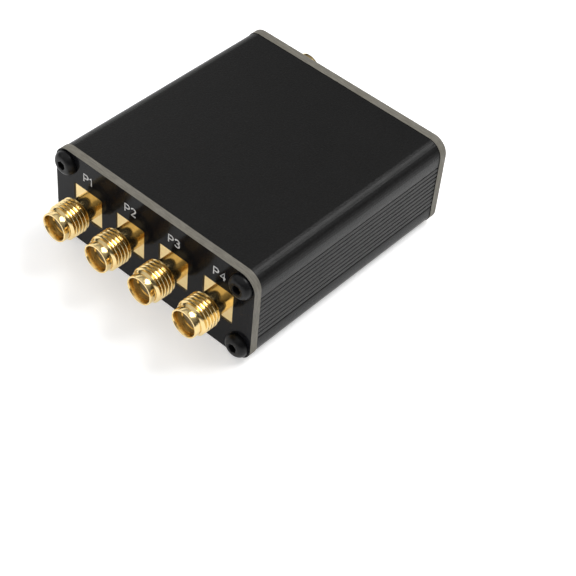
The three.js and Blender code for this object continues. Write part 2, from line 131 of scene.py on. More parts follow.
class JackSizes(PropertyGroup):
    collar_radius: length("Collar radius", "Radius of the smooth collar at the mating end", 2.7)
    collar_length: length("Collar length", "Length of the smooth collar", 1.2)
    crest_radius: length("Thread crest", "Outer radius of the thread", 3.175)
    root_radius: length("Thread root", "Radius at the bottom of the thread", 2.7)
    thread_length: length("Thread length", "Length of the threaded stretch", 4.2)
    thread_pitch: length("Thread pitch", "Distance from one crest to the next", 25.4 / 36)
    neck_radius: length("Neck radius", "Radius of the neck between thread and flange", 2.3)
    mouth_radius: length("Mouth radius", "Radius of the open mouth", 2.3)
    mouth_depth: length("Mouth depth", "Depth of the mouth down to the insulator", 1.9)
    bore_radius: length("Bore radius", "Radius of the bore round the insulator", 2.07)
    flange_side: length("Flange side", "Side of the square flange", 6.35)
    flange_recess: length("Flange recess", "How far the flange sits behind the panel's face", 0.2)
    flange_thickness: length("Flange thickness", "Thickness of the flange", 1.6)
    flange_corner: length("Flange corner", "Corner radius of the flange", 0.12)
    leg_side: length("Leg side", "Side of each square board leg", 1.0)
    leg_length: length("Leg length", "Length of the board legs behind the flange", 4.8)
    leg_offset: length("Leg offset", "Distance of the legs from the jack's middle", 2.6)
    edge_break: length("Edge break", "Rounding on the turned edges", 0.06)
    lead_in: length("Lead-in", "How much the mouth widens towards its rim", 0.12)
    relief: length("Relief", "Width of the turned relief between collar and thread", 0.3)


class ContactSizes(PropertyGroup):
    insulator_radius: length("Insulator radius", "Outer radius of the insulator", 2.05)
    insulator_hole: length("Insulator hole", "Radius of the hole for the contact", 0.66)
    radius: length("Contact radius", "Outer radius of the centre contact", 0.635)
    recess: length("Contact recess", "How far the contact sits behind the insulator's face", 0.1)
    hole_radius: length("Socket radius", "Radius of the hole in the contact", 0.47)
    slot_depth: length("Slot depth", "Depth of the slots between the contact's fingers", 2.0)
    hole_depth: length("Socket depth", "Depth of the hole in the contact", 2.6)
    tail_radius: length("Tail radius", "Radius of the solder tail", 0.4)
    tail_length: length("Tail length", "Length of the solder tail behind the flange", 2.8)
    finger_angle: FloatProperty(name="Finger angle", description="How far round each finger goes",
                                default=math.radians(72), subtype="ANGLE", unit="ROTATION")


class LabelSizes(PropertyGroup):
    height: length("Letter height", "Height of the port numbers", 1.6)
    width: length("Letter width", "Width of a letter or digit", 1.03)
    gap: length("Letter gap", "Gap between the two characters", 0.42)
    stroke: length("Stroke", "Width of the printed stroke", 0.27)
    ink: length("Ink thickness", "Thickness of the printed ink", 0.02)
    level: length("Label level", "Height of the foot of the labels above the floor", 14.5)
    shift: length("Label shift", "How far the labels stand to the right of their port's middle", 0.1)


class SmallPartSizes(PropertyGroup):
    inlet_rounding: length("Inlet rounding", "Rounding along the folded inlet shell", 0.12)
    inlet_break: length("Inlet edge break", "Rounding on the rims of the inlet shell", 0.04)
    tongue_break: length("Tongue edge break", "Rounding on the inlet's tongue", 0.05)
    switch_break: length("Switch edge break", "Rounding on the boot switch's housing", 0.06)
    plunger_break: length("Plunger edge break", "Rounding on the boot switch's plunger", 0.04)
    lens_break: length("Lens edge break", "Rounding on the status light's lens", 0.05)


class FinishColours(PropertyGroup):
    anodised: tint("Anodised black", "Colour of the sleeve", 0.0085, 0.0084, 0.0083)
    solder_mask: tint("Solder mask", "Colour of the panels' faces", 0.0075, 0.0077, 0.009)
    board_edge: tint("Board edge", "Colour of the panels' cut edges", 0.19, 0.178, 0.15)
    gold: tint("Gold", "Colour of the plated jacks", 0.87, 0.665, 0.32)
    black_steel: tint("Black steel", "Colour of the screws", 0.006, 0.006, 0.0065)
    # The insulator tint is painted shade and painted warm reflection of the gold bore: the real insulator is
    # white.
    insulator: tint("Insulator", "Colour of the jacks' insulators", 0.3, 0.23, 0.14)
    ink: tint("Ink", "Colour of the port numbers", 0.78, 0.78, 0.78)
    board: tint("Board green", "Colour of the inner board", 0.008, 0.055, 0.02)
    tin: tint("Tin plate", "Colour of the inlet and the shield cans", 0.62, 0.62, 0.64)
    epoxy: tint("Epoxy", "Colour of the chips", 0.016, 0.016, 0.018)
    ferrite: tint("Ferrite", "Colour of the inductor", 0.05, 0.052, 0.058)
    plastic: tint("Black plastic", "Colour of the inlet's tongue and the switch", 0.012, 0.012, 0.013)
    lens: tint("Lens", "Colour of the status light's lens", 0.62, 0.78, 0.6)


class StudioSettings(PropertyGroup):
    floor_side: length("Floor side", "Side of the pale floor", 6000.0)
    floor_tint: tint("Floor colour", "Colour of the floor", 0.9, 0.9, 0.9)
    camera_place: FloatVectorProperty(name="Camera place", description="Where the camera stands", size=3,
                                      default=(0.129362, -0.153606, 0.189614), subtype="TRANSLATION")
    camera_turn: FloatVectorProperty(name="Camera turn", description="How the camera is turned", size=3,
                                     default=tuple(map(math.radians, (44.2692, -4.1523, 42.048))),
                                     subtype="EULER")
    camera_lens: FloatProperty(name="Lens", description="Focal length of the camera in millimetres",
                               default=97.892, min=1.0)
    key_power: FloatProperty(name="Key light", description="Power of the overhead soft box in watts",
                             default=5.2, min=0.0, subtype="POWER", unit="POWER")
    key_side: length("Key size", "Side of the overhead soft box", 450.0)
    fill_power: FloatProperty(name="Fill light", description="Power of the front soft box in watts",
                              default=3.6, min=0.0, subtype="POWER", unit="POWER")
    fill_side: length("Fill size", "Side of the front soft box", 1500.0)
    side_power: FloatProperty(name="Side light", description="Power of the low soft box on the left in watts",
                              default=1.2, min=0.0, subtype="POWER", unit="POWER")
    side_side: length("Side light size", "Side of the low soft box on the left", 600.0)
    light_distance: length("Light distance", "Distance of the soft boxes from the object", 900.0)
    sky_high: share("Zenith", "Brightness of the surroundings overhead", 0.34)
    sky_low: share("Horizon", "Brightness of the surroundings at the horizon", 0.02)
    floor_glow: share("Floor glow", "How brightly the floor is lit from below", 0.48)


# ---------- mesh helpers ----------

def loop_edges(verts):
    """The open edges that join these vertices to each other."""
    chosen = set(verts)
    edges = dict.fromkeys(e for v in verts for e in v.link_edges)
    return [e for e in edges if len(e.link_faces) < 2 and chosen.issuperset(e.verts)]


def ring_matrix(x, y, z, turn=0.0):
    """Stands a flat circle upright across Y, at a place."""
    stand = Matrix.Rotation(math.pi / 2, 4, "X") @ Matrix.Rotation(turn, 4, "Z")
    return Matrix.Translation((x, y, z)) @ stand


def circle_ring(bm, radius, x, y, z, steps=32, turn=0.0):
    made = bmesh.ops.create_circle(bm, cap_ends=False, radius=radius, segments=steps,
                                   matrix=ring_matrix(x, y, z, turn))
    return made["verts"]


def rounded_ring(bm, width, height, corner, x, y, z, steps=6):
    """A closed loop across Y: a rectangle whose four corners are arcs."""
    half_step = math.pi / (4 * steps)
    verts = circle_ring(bm, corner / math.cos(half_step), 0, y, 0, 4 * steps, half_step)
    for vert in verts:
        vert.co.x += math.copysign(width / 2 - corner, vert.co.x) + x
        vert.co.z += math.copysign(height / 2 - corner, vert.co.z) + z
    return verts


def fill_flat(bm, *rings):
    """Fills the flat area between an outer loop and the holes in it."""
    edges = [e for ring in rings for e in loop_edges(ring)]
    made = bmesh.ops.triangle_fill(bm, use_beauty=True, use_dissolve=False, edges=edges)
    return [g for g in made["geom"] if isinstance(g, bmesh.types.BMFace)]


def grow_ring(bm, verts, radius, y):
    """Extrudes a loop round the Y axis to another radius and another place along the axis."""
    made = bmesh.ops.extrude_edge_only(bm, edges=loop_edges(verts))
    grown = [g for g in made["geom"] if isinstance(g, bmesh.types.BMVert)]
    for vert in grown:
        across = Vector((vert.co.x, 0.0, vert.co.z)).normalized() * radius
        vert.co = across + Vector((0.0, y, 0.0))
    return grown


def lathe(bm, outline, steps=64, closed=False):
    """Spins an outline of (radius, y) points round the Y axis."""
    verts = [bm.verts.new((radius, y, 0.0)) for radius, y in outline]
    edges = [bm.edges.new(pair) for pair in zip(verts, verts[1:])]
    if closed:
        edges.append(bm.edges.new((verts[-1], verts[0])))
    bmesh.ops.spin(bm, geom=verts + edges, cent=(0, 0, 0), axis=(0, 1, 0), dvec=(0, 0, 0),
                   angle=FULL_TURN, steps=steps, use_merge=True)
    bmesh.ops.remove_doubles(bm, verts=bm.verts, dist=WELD)


def block(bm, low, high):
    """A box between two corners."""
    size = Vector(high) - Vector(low)
    place = Matrix.Translation((Vector(low) + Vector(high)) / 2) @ Matrix.Diagonal((*size, 1.0))
    return bmesh.ops.create_cube(bm, size=1.0, matrix=place)["verts"]


def soften(bm, edges, offset, segments=2):
    if edges:
        bmesh.ops.bevel(bm, geom=edges, offset=offset, offset_type="OFFSET", affect="EDGES",
                        segments=segments, profile=0.5, material=-1, clamp_overlap=True)


def sharp_edges(bm, angle=math.radians(40)):
    return [e for e in bm.edges if len(e.link_faces) == 2 and e.calc_face_angle() > angle]


def along_axis(edge, axis):
    """True if an edge runs along X, Y or Z, given as 0, 1 or 2."""
    direction = edge.verts[1].co - edge.verts[0].co
    return abs(direction[axis]) > 0.99 * direction.length


def merged_copy(node):
    """A bmesh of a CAD node with its doubled vertices merged and its flat triangles joined."""
    bm = bmesh.new()
    bm.from_mesh(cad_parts[node].data)
    bmesh.ops.remove_doubles(bm, verts=bm.verts, dist=WELD)
    bmesh.ops.dissolve_limit(bm, angle_limit=math.radians(1), use_dissolve_boundaries=False,
                             verts=bm.verts, edges=bm.edges, delimit=set())
    return bm


def finish_piece(bm, name, finishes, nodes=(), body=MAIN_BODY, weigh=False, flat_across_y=False):
    """Turns a bmesh into a finished piece that rides on a body and stands for CAD nodes.

    Faces square to Y can be kept flat, so that no edge beside them bends their shading.
    """
    bmesh.ops.remove_doubles(bm, verts=bm.verts, dist=WELD)
    bmesh.ops.recalc_face_normals(bm, faces=bm.faces)
    if not all(e.is_manifold for e in bm.edges):
        raise RuntimeError(f"{name} isn't closed")
    mesh = bpy.data.meshes.new(name)
    bm.to_mesh(mesh)
    bm.free()
    mesh.shade_smooth()
    mesh.set_sharp_from_angle(angle=SMOOTH_ANGLE)
    if flat_across_y:
        for polygon in mesh.polygons:
            polygon.use_smooth = abs(polygon.normal.y) < 0.999
    for finish in finishes:
        mesh.materials.append(finish)
    piece = bpy.data.objects.new(name, mesh)
    bpy.context.scene.collection.objects.link(piece)
    if weigh:
        modifier = piece.modifiers.new("Weighted normals", "WEIGHTED_NORMAL")
        modifier.keep_sharp = True
        modifier.weight = 100
    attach(piece, body)
    if nodes:
        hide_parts(*nodes)
    return piece


def dress_node(node, finish):
    """Gives a CAD node that is shown as it is its finish."""
    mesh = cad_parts[node].data
    mesh.materials.clear()
    mesh.materials.append(finish)


# ---------- finishes ----------

class Finish:
    """A material whose patterns are drawn on Object coordinates, in metres."""

    def __init__(self, name, colour, roughness, metallic=0.0, ior=1.5):
        self.material = bpy.data.materials.new(FINISH_PREFIX + name)
        self.material.use_nodes = True
        self.material.diffuse_color = (*colour, 1.0)
        self.nodes = self.material.node_tree.nodes
        self.links = self.material.node_tree.links
        self.shader = self.nodes["Principled BSDF"]
        self.shader.inputs["Base Color"].default_value = (*colour, 1.0)
        self.shader.inputs["Roughness"].default_value = roughness
        self.shader.inputs["Metallic"].default_value = metallic
        self.shader.inputs["IOR"].default_value = ior
        self.place = self.nodes.new("ShaderNodeTexCoord").outputs["Object"]

    def link(self, output, socket):
        self.links.new(output, self.shader.inputs[socket])

    def stretched(self, x, y, z):
        """Coordinates scaled so that a pattern is stretched where the scale is small."""
        node = self.nodes.new("ShaderNodeMapping")
        node.inputs["Scale"].default_value = (x, y, z)
        self.links.new(self.place, node.inputs["Vector"])
        return node.outputs["Vector"]

    def noise(self, cell, detail=3.0, rough=0.55, place=None):
        """Noise whose patches are about one cell wide."""
        node = self.nodes.new("ShaderNodeTexNoise")
        node.inputs["Scale"].default_value = 1.0 / cell
        node.inputs["Detail"].default_value = detail
        node.inputs["Roughness"].default_value = rough
        self.links.new(place or self.place, node.inputs["Vector"])
        return node.outputs["Fac"]

    def cells(self, cell):
        """Distance from the nearest of points that stand about one cell apart."""
        node = self.nodes.new("ShaderNodeTexVoronoi")
        node.inputs["Scale"].default_value = 1.0 / cell
        self.links.new(self.place, node.inputs["Vector"])
        return node.outputs["Distance"]

    def waves(self, pitch, axis, distortion=0.0):
        """Bands across an axis, one pitch apart."""
        node = self.nodes.new("ShaderNodeTexWave")
        node.bands_direction = axis
        node.inputs["Scale"].default_value = FULL_TURN / (20.0 * pitch)
        node.inputs["Distortion"].default_value = distortion
        self.links.new(self.place, node.inputs["Vector"])
        return node.outputs["Fac"]

    def spread(self, value, low, high, to_low, to_high):
        """Maps a value from one range to another and holds it there."""
        node = self.nodes.new("ShaderNodeMapRange")
        for name, number in (("From Min", low), ("From Max", high), ("To Min", to_low), ("To Max", to_high)):
            node.inputs[name].default_value = number
        self.links.new(value, node.inputs["Value"])
        return node.outputs["Result"]

    def combine(self, operation, first, second):
        node = self.nodes.new("ShaderNodeMath")
        node.operation = operation
        for socket, value in zip(node.inputs, (first, second)):
            if isinstance(value, (int, float)):
                socket.default_value = value
            else:
                self.links.new(value, socket)
        return node.outputs["Value"]

    def blend(self, factor, first, second):
        """Mixes two colours, or a colour output and a colour, by a factor."""
        node = self.nodes.new("ShaderNodeMix")
        node.data_type = "RGBA"
        self.links.new(factor, node.inputs["Factor"])
        for socket, value in ((node.inputs[6], first), (node.inputs[7], second)):
            if isinstance(value, bpy.types.NodeSocket):
                self.links.new(value, socket)
            else:
                socket.default_value = (*value, 1.0)
        return node.outputs[2]

    def bump(self, height, distance, strength):
        node = self.nodes.new("ShaderNodeBump")
        node.inputs["Strength"].default_value = strength
        node.inputs["Distance"].default_value = distance
        self.links.new(height, node.inputs["Height"])
        self.link(node.outputs["Normal"], "Normal")


def scaled(colour, factor):
    return tuple(min(1.0, channel * factor) for channel in colour)


def anodised_finish(colours):
    """Bead-blasted black anodising: a fine pitted grain, with lighter flecks that are painted glints of the
    blasted grain.
    """
    finish = Finish("anodised_aluminium", colours.anodised, 0.33, ior=1.26)
    grain = finish.noise(0.34 * MM, 3.0, 0.7)
    drift = finish.noise(6.0 * MM, 2.0)
    painted_glint_flecks = finish.spread(finish.cells(0.42 * MM), 0.0, 0.16, 1.0, 0.0)
    tone = finish.blend(finish.spread(grain, 0.3, 0.72, 0.0, 1.0),
                        scaled(colours.anodised, 0.6), scaled(colours.anodised, 1.5))
    # Each fleck is lifted to five times the colour: painted glints of the blasted grain.
    tone = finish.blend(finish.combine("MULTIPLY", painted_glint_flecks, 0.35), tone, scaled(colours.anodised, 5.0))
    finish.link(tone, "Base Color")
    finish.link(finish.combine("ADD", finish.spread(grain, 0.3, 0.7, 0.3, 0.37),
                               finish.spread(drift, 0.3, 0.7, -0.02, 0.03)), "Roughness")
    finish.bump(finish.combine("ADD", grain, finish.combine("MULTIPLY", painted_glint_flecks, 0.3)), 0.05 * MM, 1.0)
    return finish.material


def solder_mask_finish(colours):
    """Glossy black lacquer over glass cloth."""
    finish = Finish("black_solder_mask", colours.solder_mask, 0.14, ior=1.18)
    peel = finish.noise(0.9 * MM, 2.0)
    weave = finish.combine("MULTIPLY", finish.waves(0.55 * MM, "X", 0.6), finish.waves(0.48 * MM, "Z", 0.6))
    dust = finish.spread(finish.noise(0.35 * MM, 4.0, 0.7), 0.62, 0.8, 0.0, 0.12)
    finish.link(finish.combine("ADD", finish.spread(peel, 0.3, 0.7, 0.12, 0.17), dust), "Roughness")
    tone = finish.blend(finish.spread(weave, 0.0, 1.0, 0.0, 1.0),
                        scaled(colours.solder_mask, 0.85), scaled(colours.solder_mask, 1.15))
    finish.link(tone, "Base Color")
    relief = finish.combine("ADD", finish.combine("MULTIPLY", weave, 0.15), peel)
    finish.bump(relief, 0.004 * MM, 0.6)
    return finish.material


def board_edge_finish(colours):
    """Cut edge of a glass-epoxy board: cloth layers through the thickness, with torn fibres."""
    finish = Finish("board_edge", colours.board_edge, 0.75, ior=1.5)
    layers = finish.noise(0.2 * MM, 3.0, 0.6, finish.stretched(0.12, 1.0, 0.12))
    fibres = finish.noise(0.25 * MM, 4.0, 0.65, finish.stretched(0.45, 1.6, 0.45))
    patches = finish.noise(3.0 * MM, 3.0, 0.6)
    tone = finish.blend(finish.spread(layers, 0.3, 0.7, 0.0, 1.0),
                        scaled(colours.board_edge, 0.7), scaled(colours.board_edge, 1.25))
    tone = finish.blend(finish.spread(fibres, 0.58, 0.78, 0.0, 0.6), tone, (0.38, 0.36, 0.3))
    tone = finish.blend(finish.spread(patches, 0.35, 0.7, 0.0, 0.35), tone, (0.13, 0.115, 0.08))
    finish.link(tone, "Base Color")
    finish.link(finish.spread(fibres, 0.3, 0.7, 0.62, 0.86), "Roughness")
    finish.bump(finish.combine("ADD", layers, fibres), 0.03 * MM, 0.8)
    return finish.material


def gold_finish(colours):
    """Satin gold plate over turned brass, with faint turning marks round the axis."""
    finish = Finish("gold_plating", colours.gold, 0.18, metallic=1.0)
    marks = finish.noise(0.09 * MM, 2.0, 0.6, finish.stretched(0.06, 1.0, 0.06))
    wear = finish.noise(0.7 * MM, 4.0, 0.6)
    tone = finish.blend(finish.spread(wear, 0.35, 0.7, 0.0, 1.0),
                        colours.gold, scaled(colours.gold, 0.88))
    finish.link(tone, "Base Color")
    finish.link(finish.combine("ADD", finish.spread(wear, 0.3, 0.7, 0.15, 0.21),
                               finish.spread(marks, 0.3, 0.7, 0.0, 0.03)), "Roughness")
    finish.bump(marks, 0.002 * MM, 0.4)
    return finish.material


def black_steel_finish(colours):
    """Black-oxide steel with bright wear on the raised grain."""
    finish = Finish("black_oxide_steel", colours.black_steel, 0.32, ior=1.3)
    grain = finish.noise(0.12 * MM, 4.0, 0.6)
    worn = finish.noise(0.8 * MM, 5.0, 0.65)
    tone = finish.blend(finish.spread(worn, 0.6, 0.75, 0.0, 0.5), colours.black_steel, (0.05, 0.048, 0.045))
    finish.link(tone, "Base Color")
    finish.link(finish.spread(grain, 0.3, 0.7, 0.28, 0.42), "Roughness")
    finish.bump(grain, 0.008 * MM, 0.5)
    return finish.material


def shaded_insulator_finish(colours):
    """Waxy fluoropolymer with a fine grain; its white is painted tan and darker, as painted shade and painted
    warm reflection from the gold bore round it.
    """
    finish = Finish("ptfe", colours.insulator, 0.4, ior=1.38)
    finish.shader.inputs["Subsurface Weight"].default_value = 0.3
    finish.shader.inputs["Subsurface Radius"].default_value = (0.9, 0.8, 0.7)
    finish.shader.inputs["Subsurface Scale"].default_value = 0.6 * MM
    cloud = finish.noise(0.6 * MM, 3.0)
    finish.link(finish.blend(cloud, scaled(colours.insulator, 0.9), scaled(colours.insulator, 1.05)),
                "Base Color")
    finish.link(finish.spread(cloud, 0.3, 0.7, 0.34, 0.46), "Roughness")
    finish.bump(finish.noise(0.08 * MM, 2.0), 0.006 * MM, 0.5)
    return finish.material


def ink_finish(colours):
    """Screen-printed white ink, a little uneven."""
    finish = Finish("white_ink", colours.ink, 0.55)
    speckle = finish.noise(0.12 * MM, 4.0, 0.7)
    finish.link(finish.blend(finish.spread(speckle, 0.3, 0.6, 0.0, 1.0),
                             scaled(colours.ink, 0.7), colours.ink), "Base Color")
    finish.link(finish.spread(speckle, 0.3, 0.7, 0.48, 0.64), "Roughness")
    finish.bump(speckle, 0.006 * MM, 0.6)
    return finish.material


def board_finish(colours):
    """Green solder mask over copper tracks."""
    finish = Finish("circuit_board", colours.board, 0.3)
    tracks = finish.spread(finish.waves(0.9 * MM, "X", 3.0), 0.55, 0.62, 0.0, 1.0)
    ground = finish.spread(finish.noise(5.0 * MM, 2.0), 0.48, 0.52, 0.0, 1.0)
    copper = finish.combine("MULTIPLY", tracks, ground)
    finish.link(finish.blend(copper, colours.board, scaled(colours.board, 2.2)), "Base Color")
    finish.link(finish.spread(finish.noise(0.8 * MM), 0.3, 0.7, 0.24, 0.36), "Roughness")
    finish.bump(copper, 0.03 * MM, 0.6)
    return finish.material


def tin_finish(colours):
    """Drawn tin plate with a brushed grain and small dull spots."""
    finish = Finish("tin_plate", colours.tin, 0.3, metallic=1.0)
    grain = finish.noise(0.2 * MM, 3.0, 0.6, finish.stretched(1.0, 0.1, 1.0))
    spots = finish.noise(1.1 * MM, 5.0, 0.6)
    finish.link(finish.blend(finish.spread(spots, 0.4, 0.7, 0.0, 1.0),
                             colours.tin, scaled(colours.tin, 0.8)), "Base Color")
    finish.link(finish.combine("ADD", finish.spread(grain, 0.3, 0.7, 0.2, 0.3),
                               finish.spread(spots, 0.4, 0.7, 0.0, 0.12)), "Roughness")
    finish.bump(grain, 0.006 * MM, 0.4)
    return finish.material


def moulded_finish(name, colour, roughness, cell):
    """Moulded black compound with a fine spark-eroded grain."""
    finish = Finish(name, colour, roughness)
    grain = finish.noise(cell, 4.0, 0.65)
    finish.link(finish.blend(finish.spread(grain, 0.3, 0.7, 0.0, 1.0),
                             scaled(colour, 0.75), scaled(colour, 1.35)), "Base Color")
    finish.link(finish.spread(grain, 0.3, 0.7, roughness - 0.08, roughness + 0.08), "Roughness")
    finish.bump(grain, 0.08 * cell, 0.7)
    return finish.material


def lens_finish(colours):
    """Milky lens of the status light."""
    finish = Finish("led_lens", colours.lens, 0.2, ior=1.53)
    finish.shader.inputs["Subsurface Weight"].default_value = 0.6
    finish.shader.inputs["Subsurface Radius"].default_value = (0.8, 1.0, 0.8)
    finish.shader.inputs["Subsurface Scale"].default_value = 0.5 * MM
    cloud = finish.noise(0.4 * MM, 3.0)
    finish.link(finish.blend(cloud, scaled(colours.lens, 0.85), colours.lens), "Base Color")
    finish.link(finish.spread(cloud, 0.3, 0.7, 0.14, 0.26), "Roughness")
    finish.bump(finish.noise(0.1 * MM), 0.004 * MM, 0.4)
    return finish.material


def shared(name, make, *arguments):
    """The finish of this name, made the first time it is asked for."""
    return bpy.data.materials.get(FINISH_PREFIX + name) or make(*arguments)


def mid(node):
    low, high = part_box(node)
    return (low + high) / 2


# ---------- operators ----------

class ANALYZER_OT_sleeve(Operator):
    """Make the extruded sleeve with smooth corners and broken groove edges"""
    bl_idname = "analyzer.sleeve"
    bl_label = "Sleeve"

    def execute(self, context):
        sizes = context.scene.analyzer_case
        bm = merged_copy("case_sleeve")
        lengthwise = [e for e in bm.edges if len(e.link_faces) == 2 and along_axis(e, 1)]
        angles = {e: e.calc_face_angle() for e in lengthwise}
        corners = [e for e in lengthwise if e.is_convex and math.radians(5) < angles[e] < math.radians(40)]
        soften(bm, corners, sizes.corner_rounding, 3)
        grooves = [e for e in bm.edges if len(e.link_faces) == 2 and along_axis(e, 1)
                   and e.calc_face_angle() > math.radians(40)]
        soften(bm, grooves, sizes.groove_break, 2)
        finish = shared("anodised_aluminium", anodised_finish, context.scene.analyzer_colours)
        finish_piece(bm, "sleeve_shell", [finish], ["case_sleeve"], weigh=True)
        return {"FINISHED"}


class ANALYZER_OT_panels(Operator):
    """Make the front and rear end panels"""
    bl_idname = "analyzer.panels"
    bl_label = "End panels"

    def execute(self, context):
        sizes = context.scene.analyzer_case
        self.make(context, "front", [self.jack_hole(sizes, name) for name in FRONT_PORTS])
        inlet, light, button = mid("usb_shell"), mid("status_led"), mid("boot_plunger")
        self.make(context, "rear", [
            self.jack_hole(sizes, "rear_port"),
            lambda bm, y: rounded_ring(bm, sizes.inlet_width, sizes.inlet_height, sizes.inlet_corner,
                                       inlet.x, y, inlet.z),
            lambda bm, y: circle_ring(bm, sizes.light_window, light.x, y, light.z),
            lambda bm, y: circle_ring(bm, sizes.button_hole, button.x, y, button.z),
        ])
        return {"FINISHED"}

    @staticmethod
    def jack_hole(sizes, name):
        place = mid(f"{name}_body")
        side, corner = sizes.cutout_side, sizes.cutout_corner
        return lambda bm, y: rounded_ring(bm, side, side, corner, place.x, y, place.z, 4)

    @staticmethod
    def make(context, end, holes):
        sizes, colours = context.scene.analyzer_case, context.scene.analyzer_colours
        low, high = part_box(f"{end}_panel")
        size, centre = high - low, (low + high) / 2
        bm = bmesh.new()
        walls = [[rounded_ring(bm, size.x, size.z, sizes.panel_corner, centre.x, y, centre.z, 12)
                  for y in (low.y, high.y)]]
        walls += [[hole(bm, low.y), hole(bm, high.y)] for hole in holes]
        steps = [(sizes.screw_hole, low.y), (sizes.screw_hole, high.y)]
        if end == "rear":
            sink = sizes.sink_radius - sizes.screw_hole
            steps[1:] = [(sizes.screw_hole, high.y - sink), (sizes.sink_radius, high.y)]
        for number in range(1, 5):
            screw = mid(f"{end}_screw_{number}")
            walls.append([circle_ring(bm, radius, screw.x, y, screw.z) for radius, y in steps])
        fill_flat(bm, *(rings[0] for rings in walls))
        fill_flat(bm, *(rings[-1] for rings in walls))
        for rings in walls:
            for first, second in zip(rings, rings[1:]):
                bmesh.ops.bridge_loops(bm, edges=loop_edges(first) + loop_edges(second))
        bmesh.ops.recalc_face_normals(bm, faces=bm.faces)
        for face in bm.faces:
            face.material_index = 0 if abs(face.normal.y) > 0.9 else 1
        soften(bm, sharp_edges(bm), sizes.panel_break, 2)
        mask = shared("black_solder_mask", solder_mask_finish, colours)
        edge = shared("board_edge", board_edge_finish, colours)
        finish_piece(bm, f"{end}_plate", [mask, edge], [f"{end}_panel"],
                     weigh=True, flat_across_y=True)


def arc(across, up, wide, high, start, end, steps=10):
    """Points on part of an ellipse, in shares of a letter's width and height."""
    angles = [math.radians(start + (end - start) * step / steps) for step in range(steps + 1)]
    return [(across + wide * math.cos(a), up + high * math.sin(a)) for a in angles]


# Each character is a list of strokes, in shares of the letter's width and height.
STROKES = {
    "P": [[(0.0, 0.0), (0.0, 1.0), (0.55, 1.0), *arc(0.55, 0.74, 0.45, 0.26, 90, -90), (0.0, 0.48)]],
    "1": [[(0.0, 0.78), (0.34, 1.0), (0.34, 0.0)]],
    "2": [[*arc(0.48, 0.73, 0.46, 0.27, 165, -35), (0.0, 0.0), (1.0, 0.0)]],
    "3": [[*arc(0.46, 0.76, 0.44, 0.24, 160, -90), *arc(0.46, 0.27, 0.5, 0.27, 90, -160)]],
    "4": [[(0.8, 0.0), (0.8, 1.0), (0.0, 0.32), (1.08, 0.32)]],
}
NARROW = {"1": 0.5}


class ANALYZER_OT_labels(Operator):
    """Print the port numbers on the front panel"""
    bl_idname = "analyzer.labels"
    bl_label = "Port numbers"

    def execute(self, context):
        sizes = context.scene.analyzer_labels
        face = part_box("front_panel")[0].y
        finish = shared("white_ink", ink_finish, context.scene.analyzer_colours)
        for number, port in enumerate(FRONT_PORTS, 1):
            mesh = self.printed(sizes, f"P{number}", mid(f"{port}_body").x, face)
            bm = bmesh.new()
            bm.from_mesh(mesh)
            bpy.data.meshes.remove(mesh)
            finish_piece(bm, f"label_{number}", [finish])
        return {"FINISHED"}

    @staticmethod
    def printed(sizes, text, middle, face):
        """A mesh of flattened strokes that spell a text."""
        widths = [sizes.width * NARROW.get(letter, 1.0) for letter in text]
        left = middle + sizes.shift - (sum(widths) + sizes.gap * (len(text) - 1)) / 2
        curve = bpy.data.curves.new("strokes", "CURVE")
        curve.dimensions = "3D"
        curve.bevel_depth = sizes.stroke / 2
        curve.bevel_resolution = 2
        curve.use_fill_caps = True
        for letter, width in zip(text, widths):
            for stroke in STROKES[letter]:
                spline = curve.splines.new("POLY")
                spline.points.add(len(stroke) - 1)
                for point, (across, up) in zip(spline.points, stroke):
                    point.co = (left + across * sizes.width, 0.0, sizes.level + up * sizes.height, 1.0)
            left += width + sizes.gap
        lines = bpy.data.objects.new("strokes", curve)
        mesh = bpy.data.meshes.new_from_object(lines)
        bpy.data.objects.remove(lines)
        bpy.data.curves.remove(curve)
        flat = Matrix.Diagonal((1.0, 2.0 * sizes.ink / sizes.stroke, 1.0, 1.0))
        mesh.transform(Matrix.Translation((0.0, face, 0.0)) @ flat)
        return mesh


